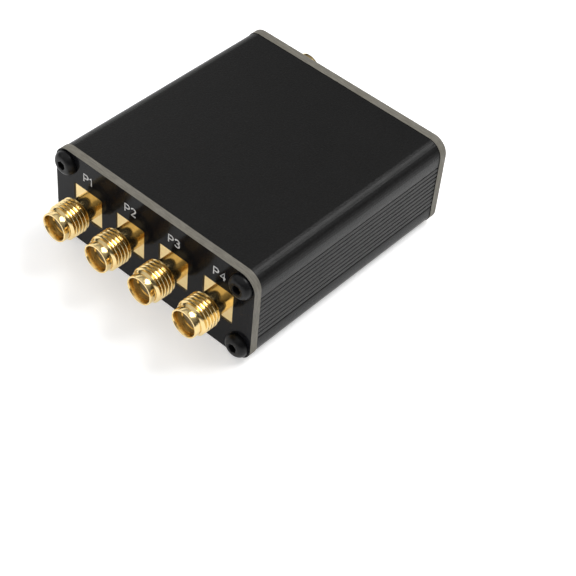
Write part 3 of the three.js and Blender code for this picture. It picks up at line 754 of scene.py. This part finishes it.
class ANALYZER_OT_screws(Operator):
    """Make the four button-head screws in front and the four countersunk ones behind"""
    bl_idname = "analyzer.screws"
    bl_label = "Screws"

    def execute(self, context):
        sizes = context.scene.analyzer_screws
        finish = shared("black_oxide_steel", black_steel_finish, context.scene.analyzer_colours)
        socket_turn = math.radians(23)  # so that no two sockets at one end line up
        for end, face in (("front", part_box("front_panel")[0].y), ("rear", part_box("rear_panel")[1].y)):
            for number in range(1, 5):
                node = f"{end}_screw_{number}"
                bm = self.screw(sizes, self.button_head(sizes) if end == "front" else self.sunk_head(sizes))
                place = Matrix.Translation((mid(node).x, face, mid(node).z))
                turn = Matrix.Rotation(number * socket_turn, 4, "Y")
                if end == "rear":
                    turn = Matrix.Rotation(math.pi, 4, "Z") @ turn
                bmesh.ops.transform(bm, matrix=place @ turn, verts=bm.verts)
                finish_piece(bm, f"{end}_bolt_{number}", [finish], [node])
        return {"FINISHED"}

    @staticmethod
    def button_head(sizes):
        """Outline of a screw along +Y, with the underside of its domed head at Y = 0."""
        dome_steps = 10
        outline = []
        for step in range(dome_steps + 1):
            angle = math.pi / 2 * step / dome_steps
            radius = sizes.flat_radius + (sizes.head_radius - sizes.flat_radius) * math.sin(angle)
            outline.append((radius, -sizes.rim - (sizes.head_height - sizes.rim) * math.cos(angle)))
        return outline + [
            (sizes.head_radius, -sizes.edge_break),
            (sizes.head_radius - sizes.edge_break, 0.0),
            (sizes.shank_radius, 0.0),
            (sizes.shank_radius, sizes.shank_length - sizes.rim),
            (sizes.shank_radius - sizes.rim, sizes.shank_length),
            (0.0, sizes.shank_length),
        ]

    @staticmethod
    def sunk_head(sizes):
        """Outline of a countersunk screw along +Y, with the panel's outer face at Y = 0."""
        top, radius, soft = sizes.sunk_depth, sizes.sunk_radius, sizes.edge_break
        return [
            (radius - soft, top),
            (radius - 0.4 * soft, top + 0.4 * soft),
            (sizes.shank_radius, top + radius - sizes.shank_radius),
            (sizes.shank_radius, sizes.sunk_length - sizes.rim),
            (sizes.shank_radius - sizes.rim, sizes.sunk_length),
            (0.0, sizes.sunk_length),
        ]

    @staticmethod
    def screw(sizes, outline):
        """One screw with a hexagon socket in its flat top."""
        bm = bmesh.new()
        lathe(bm, outline, 48)
        top = outline[0][1]
        flat = [v for v in bm.verts if abs(v.co.y - top) < WELD]
        hexagon = circle_ring(bm, sizes.socket_flats / math.sqrt(3), 0, top, 0, 6)
        fill_flat(bm, flat, hexagon)
        made = bmesh.ops.extrude_edge_only(bm, edges=loop_edges(hexagon))
        floor = [g for g in made["geom"] if isinstance(g, bmesh.types.BMVert)]
        bmesh.ops.translate(bm, verts=floor, vec=(0, sizes.socket_depth, 0))
        bmesh.ops.contextual_create(bm, geom=loop_edges(floor))
        bmesh.ops.recalc_face_normals(bm, faces=bm.faces)
        mouth = [e for e in sharp_edges(bm, math.radians(50))
                 if all(abs(v.co.y - top) < WELD for v in e.verts)]
        soften(bm, mouth, sizes.edge_break, 2)
        return bm


# One pitch of the thread: how far along it, and how high between root and crest.
THREAD_FORM = ((0.0, 0.9), (0.05, 1.0), (0.23, 1.0), (0.28, 0.9), (0.56, 0.0), (0.72, 0.0))


class ANALYZER_OT_jacks(Operator):
    """Make the five coaxial jacks: threaded body, insulator and slotted contact"""
    bl_idname = "analyzer.jacks"
    bl_label = "Coaxial jacks"

    def execute(self, context):
        colours = context.scene.analyzer_colours
        sizes, contact = context.scene.analyzer_jacks, context.scene.analyzer_contacts
        gold = shared("gold_plating", gold_finish, colours)
        insulator_with_painted_shade = shared("ptfe", shaded_insulator_finish, colours)
        for port in (*FRONT_PORTS, "rear_port"):
            low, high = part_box(f"{port}_body")
            middle = (low + high) / 2
            if port == "rear_port":
                reach = high.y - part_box("rear_panel")[1].y
                place = Matrix.Translation((middle.x, high.y - reach, middle.z))
                place @= Matrix.Rotation(math.pi, 4, "Z")
            else:
                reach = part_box("front_panel")[0].y - low.y
                place = Matrix.Translation((middle.x, low.y + reach, middle.z))
            tip = -reach
            legs = self.leg_levels(sizes, middle.z)
            for part, bm, finish, slot in (
                ("shell", self.body(sizes, tip, legs), gold, "gold_plating"),
                ("dielectric", self.insulator(sizes, contact, tip), insulator_with_painted_shade, "ptfe"),
                ("pin", self.contact(sizes, contact, tip), gold, "gold_plating"),
            ):
                bmesh.ops.transform(bm, matrix=place, verts=bm.verts)
                node = {"shell": "body", "dielectric": "insulator", "pin": "contact"}[part]
                finish_piece(bm, f"{port}_{part}", [finish], [f"{port}_{node}"], flat_across_y=True)
        return {"FINISHED"}

    @staticmethod
    def leg_levels(sizes, axis_level):
        """Where the legs' lower sides lie, above and below the board they straddle."""
        low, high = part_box("main_board")
        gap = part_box("shield_can_1")[0].z - high.z
        return high.z + gap - axis_level, low.z - gap - sizes.leg_side - axis_level

    @staticmethod
    def body(sizes, tip, legs):
        bm = bmesh.new()
        collar_end = tip + sizes.collar_length
        thread_end = collar_end + sizes.thread_length
        ANALYZER_OT_jacks.thread(bm, sizes, collar_end, thread_end)
        front = [v for v in bm.verts if abs(v.co.y - collar_end) < WELD and v.is_boundary]
        back = [v for v in bm.verts if abs(v.co.y - thread_end) < WELD and v.is_boundary]
        soft = sizes.edge_break
        flange_front = sizes.flange_recess
        flange_back = flange_front + sizes.flange_thickness
        relieved = sizes.collar_radius - 0.4 * sizes.relief
        for radius, y in (
            (relieved, collar_end),
            (relieved, collar_end - sizes.relief),
            (sizes.collar_radius - 0.5 * soft, collar_end - sizes.relief),
            (sizes.collar_radius, collar_end - sizes.relief - 0.5 * soft),
            (sizes.collar_radius, tip + soft),
            (sizes.collar_radius - 0.3 * soft, tip + 0.3 * soft),
            (sizes.collar_radius - soft, tip),
            (sizes.mouth_radius + sizes.lead_in, tip),
            (sizes.mouth_radius, tip + 2 * sizes.lead_in),
            (sizes.mouth_radius, tip + sizes.mouth_depth),
            (sizes.bore_radius, tip + sizes.mouth_depth),
            (sizes.bore_radius, flange_back),
        ):
            front = grow_ring(bm, front, radius, y)
        for radius, y in ((sizes.neck_radius, thread_end), (sizes.neck_radius, flange_front)):
            back = grow_ring(bm, back, radius, y)
        side = sizes.flange_side
        outer = rounded_ring(bm, side, side, sizes.flange_corner, 0, flange_front, 0, 3)
        fill_flat(bm, back, outer)
        made = bmesh.ops.extrude_edge_only(bm, edges=loop_edges(outer))
        rear = [g for g in made["geom"] if isinstance(g, bmesh.types.BMVert)]
        bmesh.ops.translate(bm, verts=rear, vec=(0, sizes.flange_thickness, 0))
        fill_flat(bm, front, rear)
        bmesh.ops.recalc_face_normals(bm, faces=bm.faces)
        rim = [e for e in sharp_edges(bm, math.radians(60)) if e.verts[0] in outer and e.verts[1] in outer]
        soften(bm, rim, 0.5 * soft, 2)
        for across in (-1, 1):
            for level in legs:
                x = across * sizes.leg_offset - sizes.leg_side / 2
                low = (x, flange_back - soft, level)
                high = (x + sizes.leg_side, flange_back + sizes.leg_length, level + sizes.leg_side)
                corners = block(bm, low, high)
                soften(bm, list({e for v in corners for e in v.link_edges}), soft, 2)
        return bm

    @staticmethod
    def thread(bm, sizes, start, end):
        """A right-hand thread round Y, cut off square at both ends and run out to its root there."""
        pitch, steps = sizes.thread_pitch, 64
        depth = sizes.crest_radius - sizes.root_radius
        turns = math.ceil((end - start) / pitch) + 2
        outline = [(turn + along, rise) for turn in range(turns) for along, rise in THREAD_FORM]
        outline.append((turns, THREAD_FORM[0][1]))
        verts = [bm.verts.new((sizes.root_radius + depth * rise, start + (along - 1.5) * pitch, 0.0))
                 for along, rise in outline]
        edges = [bm.edges.new(pair) for pair in zip(verts, verts[1:])]
        bmesh.ops.spin(bm, geom=verts + edges, cent=(0, 0, 0), axis=(0, 1, 0),
                       dvec=(0, pitch / steps, 0), angle=FULL_TURN, steps=steps, use_merge=False)
        bmesh.ops.remove_doubles(bm, verts=bm.verts, dist=5 * WELD)
        for level, outwards in ((start, -1), (end, 1)):
            bmesh.ops.bisect_plane(bm, geom=bm.verts[:] + bm.edges[:] + bm.faces[:], dist=WELD,
                                   plane_co=(0, level, 0), plane_no=(0, outwards, 0), clear_outer=True)
        for vert in bm.verts:
            across = Vector((vert.co.x, 0.0, vert.co.z))
            inside = min(vert.co.y - start, end - vert.co.y)
            allowed = sizes.root_radius + max(0.0, inside)
            if across.length > allowed:
                across *= allowed / across.length
                vert.co = across + Vector((0.0, vert.co.y, 0.0))

    @staticmethod
    def insulator(sizes, contact, tip):
        front = tip + sizes.mouth_depth
        back = sizes.flange_recess + sizes.flange_thickness
        outline = [
            (contact.insulator_hole, front),
            (contact.insulator_radius, front),
            (contact.insulator_radius, back),
            (contact.insulator_hole, back),
        ]
        bm = bmesh.new()
        lathe(bm, outline, 48, closed=True)
        bmesh.ops.recalc_face_normals(bm, faces=bm.faces)
        soften(bm, sharp_edges(bm, math.radians(60)), sizes.edge_break, 2)
        return bm

    @staticmethod
    def contact(sizes, contact, tip):
        """The centre contact: four springy fingers round a hole, then a solid rod and its solder tail."""
        front = tip + sizes.mouth_depth + contact.recess
        root = front + contact.slot_depth
        back = sizes.flange_recess + sizes.flange_thickness
        bm = bmesh.new()
        lathe(bm, [
            (0.0, front + contact.hole_depth),
            (contact.hole_radius, front + contact.hole_depth),
            (contact.hole_radius, root),
            (contact.radius, root),
            (contact.radius, back),
            (contact.tail_radius, back),
            (contact.tail_radius, back + contact.tail_length),
            (0.0, back + contact.tail_length),
        ], 32)
        inner, outer = contact.hole_radius, contact.radius
        taper = 0.25 * (outer - inner)
        buried = root + taper
        for finger in range(4):
            corners = [
                (inner + 0.3 * taper, buried),
                (outer - 0.3 * taper, buried),
                (outer, front + taper),
                (outer - taper, front),
                (inner, front),
            ]
            verts = [bm.verts.new((radius, y, 0.0)) for radius, y in corners]
            section = bm.faces.new(verts)
            start = Matrix.Rotation(finger * FULL_TURN / 4, 4, "Y")
            bmesh.ops.transform(bm, matrix=start, verts=verts)
            bmesh.ops.spin(bm, geom=[section, *section.edges, *verts], cent=(0, 0, 0), axis=(0, 1, 0),
                           dvec=(0, 0, 0), angle=contact.finger_angle, steps=8, use_merge=False)
        return bm


class ANALYZER_OT_board(Operator):
    """Give the inner board, its chips and its shield cans their finishes"""
    bl_idname = "analyzer.board"
    bl_label = "Board and parts"

    def execute(self, context):
        colours = context.scene.analyzer_colours
        dress_node("main_board", shared("circuit_board", board_finish, colours))
        epoxy = shared("chip_epoxy", moulded_finish, "chip_epoxy", colours.epoxy, 0.6, 0.12 * MM)
        chips = ["source_synthesizer", "lo_synthesizer", "port_switch", "data_converter",
                 "processor", "flash_memory", "voltage_regulator"]
        for chip in chips + [f"receiver_{number}" for number in range(1, 5)]:
            dress_node(chip, epoxy)
        tin = shared("tin_plate", tin_finish, colours)
        cans = [f"shield_can_{number}" for number in range(1, 5)]
        for lid in cans + ["reference_oscillator", "crystal"]:
            dress_node(lid, tin)
        ferrite = shared("ferrite", moulded_finish, "ferrite", colours.ferrite, 0.7, 0.2 * MM)
        dress_node("power_inductor", ferrite)
        return {"FINISHED"}


class ANALYZER_OT_inlet(Operator):
    """Make the data inlet: rounded metal shell and plastic tongue"""
    bl_idname = "analyzer.inlet"
    bl_label = "Data inlet"

    def execute(self, context):
        sizes, colours = context.scene.analyzer_small_parts, context.scene.analyzer_colours
        tin = shared("tin_plate", tin_finish, colours)
        black = shared("black_plastic", moulded_finish, "black_plastic", colours.plastic, 0.5, 0.15 * MM)
        bm = merged_copy("usb_shell")
        lengthwise = [e for e in sharp_edges(bm, math.radians(20)) if along_axis(e, 1)]
        soften(bm, lengthwise, sizes.inlet_rounding, 4)
        soften(bm, sharp_edges(bm, math.radians(60)), sizes.inlet_break, 2)
        finish_piece(bm, "inlet_shell", [tin], ["usb_shell"])
        bm = merged_copy("usb_tongue")
        soften(bm, sharp_edges(bm, math.radians(60)), sizes.tongue_break, 2)
        finish_piece(bm, "inlet_tongue", [black], ["usb_tongue"])
        return {"FINISHED"}


class ANALYZER_OT_boot_switch(Operator):
    """Make the boot switch and its plunger"""
    bl_idname = "analyzer.boot_switch"
    bl_label = "Boot switch"

    def execute(self, context):
        sizes, colours = context.scene.analyzer_small_parts, context.scene.analyzer_colours
        black = shared("black_plastic", moulded_finish, "black_plastic", colours.plastic, 0.5, 0.15 * MM)
        bm = merged_copy("boot_switch_body")
        outer = [e for e in sharp_edges(bm, math.radians(80)) if e.is_convex]
        soften(bm, outer, sizes.switch_break, 2)
        finish_piece(bm, "switch_housing", [black], ["boot_switch_body"])
        bm = merged_copy("boot_plunger")
        soften(bm, sharp_edges(bm), sizes.plunger_break, 2)
        finish_piece(bm, "switch_plunger", [black], ["boot_plunger"], BUTTON_BODY)
        return {"FINISHED"}


class ANALYZER_OT_status_light(Operator):
    """Make the status light behind its window"""
    bl_idname = "analyzer.status_light"
    bl_label = "Status light"

    def execute(self, context):
        sizes = context.scene.analyzer_small_parts
        bm = merged_copy("status_led")
        soften(bm, sharp_edges(bm, math.radians(30)), sizes.lens_break, 3)
        lens = shared("led_lens", lens_finish, context.scene.analyzer_colours)
        finish_piece(bm, "light_lens", [lens], ["status_led"])
        return {"FINISHED"}


class ANALYZER_OT_studio(Operator):
    """Make the pale floor, the soft lights and the camera"""
    bl_idname = "analyzer.studio"
    bl_label = "Studio"

    def execute(self, context):
        studio = context.scene.analyzer_studio
        context.scene.view_settings.view_transform = "Standard"
        self.floor(context.scene, studio)
        self.sky(context.scene, studio)
        middle = (cad_box[0] + cad_box[1]) / 2
        self.light(context.scene, "key", studio.key_power, studio.key_side, middle,
                   KEY_FROM, studio.light_distance)
        self.light(context.scene, "fill", studio.fill_power, studio.fill_side, middle,
                   FILL_FROM, studio.light_distance)
        self.light(context.scene, "side", studio.side_power, studio.side_side, middle,
                   SIDE_FROM, studio.light_distance)
        camera = bpy.data.cameras.new("camera")
        camera.sensor_width = 36.0
        camera.lens = studio.camera_lens
        camera.clip_start = 0.01
        stand = bpy.data.objects.new("camera", camera)
        stand.location = studio.camera_place
        stand.rotation_euler = studio.camera_turn
        context.scene.collection.objects.link(stand)
        context.scene.camera = stand
        return {"FINISHED"}

    @staticmethod
    def floor(scene, studio):
        finish = Finish("studio_floor", studio.floor_tint, 0.8)
        mottle = finish.noise(30.0 * MM, 4.0)
        finish.link(finish.blend(mottle, scaled(studio.floor_tint, 0.99), studio.floor_tint), "Base Color")
        finish.link(finish.spread(mottle, 0.3, 0.7, 0.75, 0.85), "Roughness")
        finish.shader.inputs["Emission Color"].default_value = (1.0, 1.0, 1.0, 1.0)
        finish.shader.inputs["Emission Strength"].default_value = studio.floor_glow
        bm = bmesh.new()
        bmesh.ops.create_grid(bm, x_segments=4, y_segments=4, size=studio.floor_side / 2)
        mesh = bpy.data.meshes.new("studio_floor")
        bm.to_mesh(mesh)
        bm.free()
        mesh.materials.append(finish.material)
        floor = bpy.data.objects.new("studio_floor", mesh)
        scene.collection.objects.link(floor)

    @staticmethod
    def sky(scene, studio):
        """Surroundings that darken from overhead down to the horizon."""
        world = bpy.data.worlds.new("studio_sky")
        world.use_nodes = True
        nodes, links = world.node_tree.nodes, world.node_tree.links
        place = nodes.new("ShaderNodeTexCoord")
        split = nodes.new("ShaderNodeSeparateXYZ")
        ramp = nodes.new("ShaderNodeMapRange")
        ramp.interpolation_type = "SMOOTHSTEP"
        for name, value in (("From Min", 0.0), ("From Max", 0.9),
                            ("To Min", studio.sky_low), ("To Max", studio.sky_high)):
            ramp.inputs[name].default_value = value
        links.new(place.outputs["Generated"], split.inputs["Vector"])
        links.new(split.outputs["Z"], ramp.inputs["Value"])
        links.new(ramp.outputs["Result"], nodes["Background"].inputs["Strength"])
        nodes["Background"].inputs["Color"].default_value = (1.0, 1.0, 1.0, 1.0)
        scene.world = world

    @staticmethod
    def light(scene, name, power, side, target, direction, distance):
        """A square soft box that faces a target from a direction."""
        lamp = bpy.data.lights.new(name, "AREA")
        lamp.energy = power
        lamp.shape = "SQUARE"
        lamp.size = side
        stand = bpy.data.objects.new(name, lamp)
        towards = direction.normalized()
        stand.location = target + towards * distance
        stand.rotation_mode = "QUATERNION"
        stand.rotation_quaternion = towards.to_track_quat("Z", "Y")
        scene.collection.objects.link(stand)


PIECE_OPERATORS = (
    ANALYZER_OT_sleeve,
    ANALYZER_OT_panels,
    ANALYZER_OT_labels,
    ANALYZER_OT_screws,
    ANALYZER_OT_jacks,
    ANALYZER_OT_board,
    ANALYZER_OT_inlet,
    ANALYZER_OT_boot_switch,
    ANALYZER_OT_status_light,
    ANALYZER_OT_studio,
)


class VIEW3D_PT_analyzer(Panel):
    """Lists the pieces of the analyzer and the studio"""
    bl_idname = "VIEW3D_PT_analyzer"
    bl_label = "Network Analyzer"
    bl_space_type = "VIEW_3D"
    bl_region_type = "UI"
    bl_category = "Analyzer"

    def draw(self, context):
        column = self.layout.column(align=True)
        for operator in PIECE_OPERATORS:
            column.operator(operator.bl_idname)


SETTINGS = {
    "analyzer_case": CaseSizes,
    "analyzer_screws": ScrewSizes,
    "analyzer_jacks": JackSizes,
    "analyzer_contacts": ContactSizes,
    "analyzer_labels": LabelSizes,
    "analyzer_small_parts": SmallPartSizes,
    "analyzer_colours": FinishColours,
    "analyzer_studio": StudioSettings,
}


def register():
    for settings in SETTINGS.values():
        bpy.utils.register_class(settings)
    for operator in PIECE_OPERATORS:
        bpy.utils.register_class(operator)
    bpy.utils.register_class(VIEW3D_PT_analyzer)
    for name, settings in SETTINGS.items():
        setattr(bpy.types.Scene, name, PointerProperty(type=settings))


def unregister():
    for name in SETTINGS:
        delattr(bpy.types.Scene, name)
    bpy.utils.unregister_class(VIEW3D_PT_analyzer)
    for operator in reversed(PIECE_OPERATORS):
        bpy.utils.unregister_class(operator)
    for settings in reversed(SETTINGS.values()):
        bpy.utils.unregister_class(settings)


def main():
    register()
    bpy.ops.analyzer.sleeve()
    bpy.ops.analyzer.panels()
    bpy.ops.analyzer.labels()
    bpy.ops.analyzer.screws()
    bpy.ops.analyzer.jacks()
    bpy.ops.analyzer.board()
    bpy.ops.analyzer.inlet()
    bpy.ops.analyzer.boot_switch()
    bpy.ops.analyzer.status_light()
    bpy.ops.analyzer.studio()


if __name__ == "__main__":
    main()
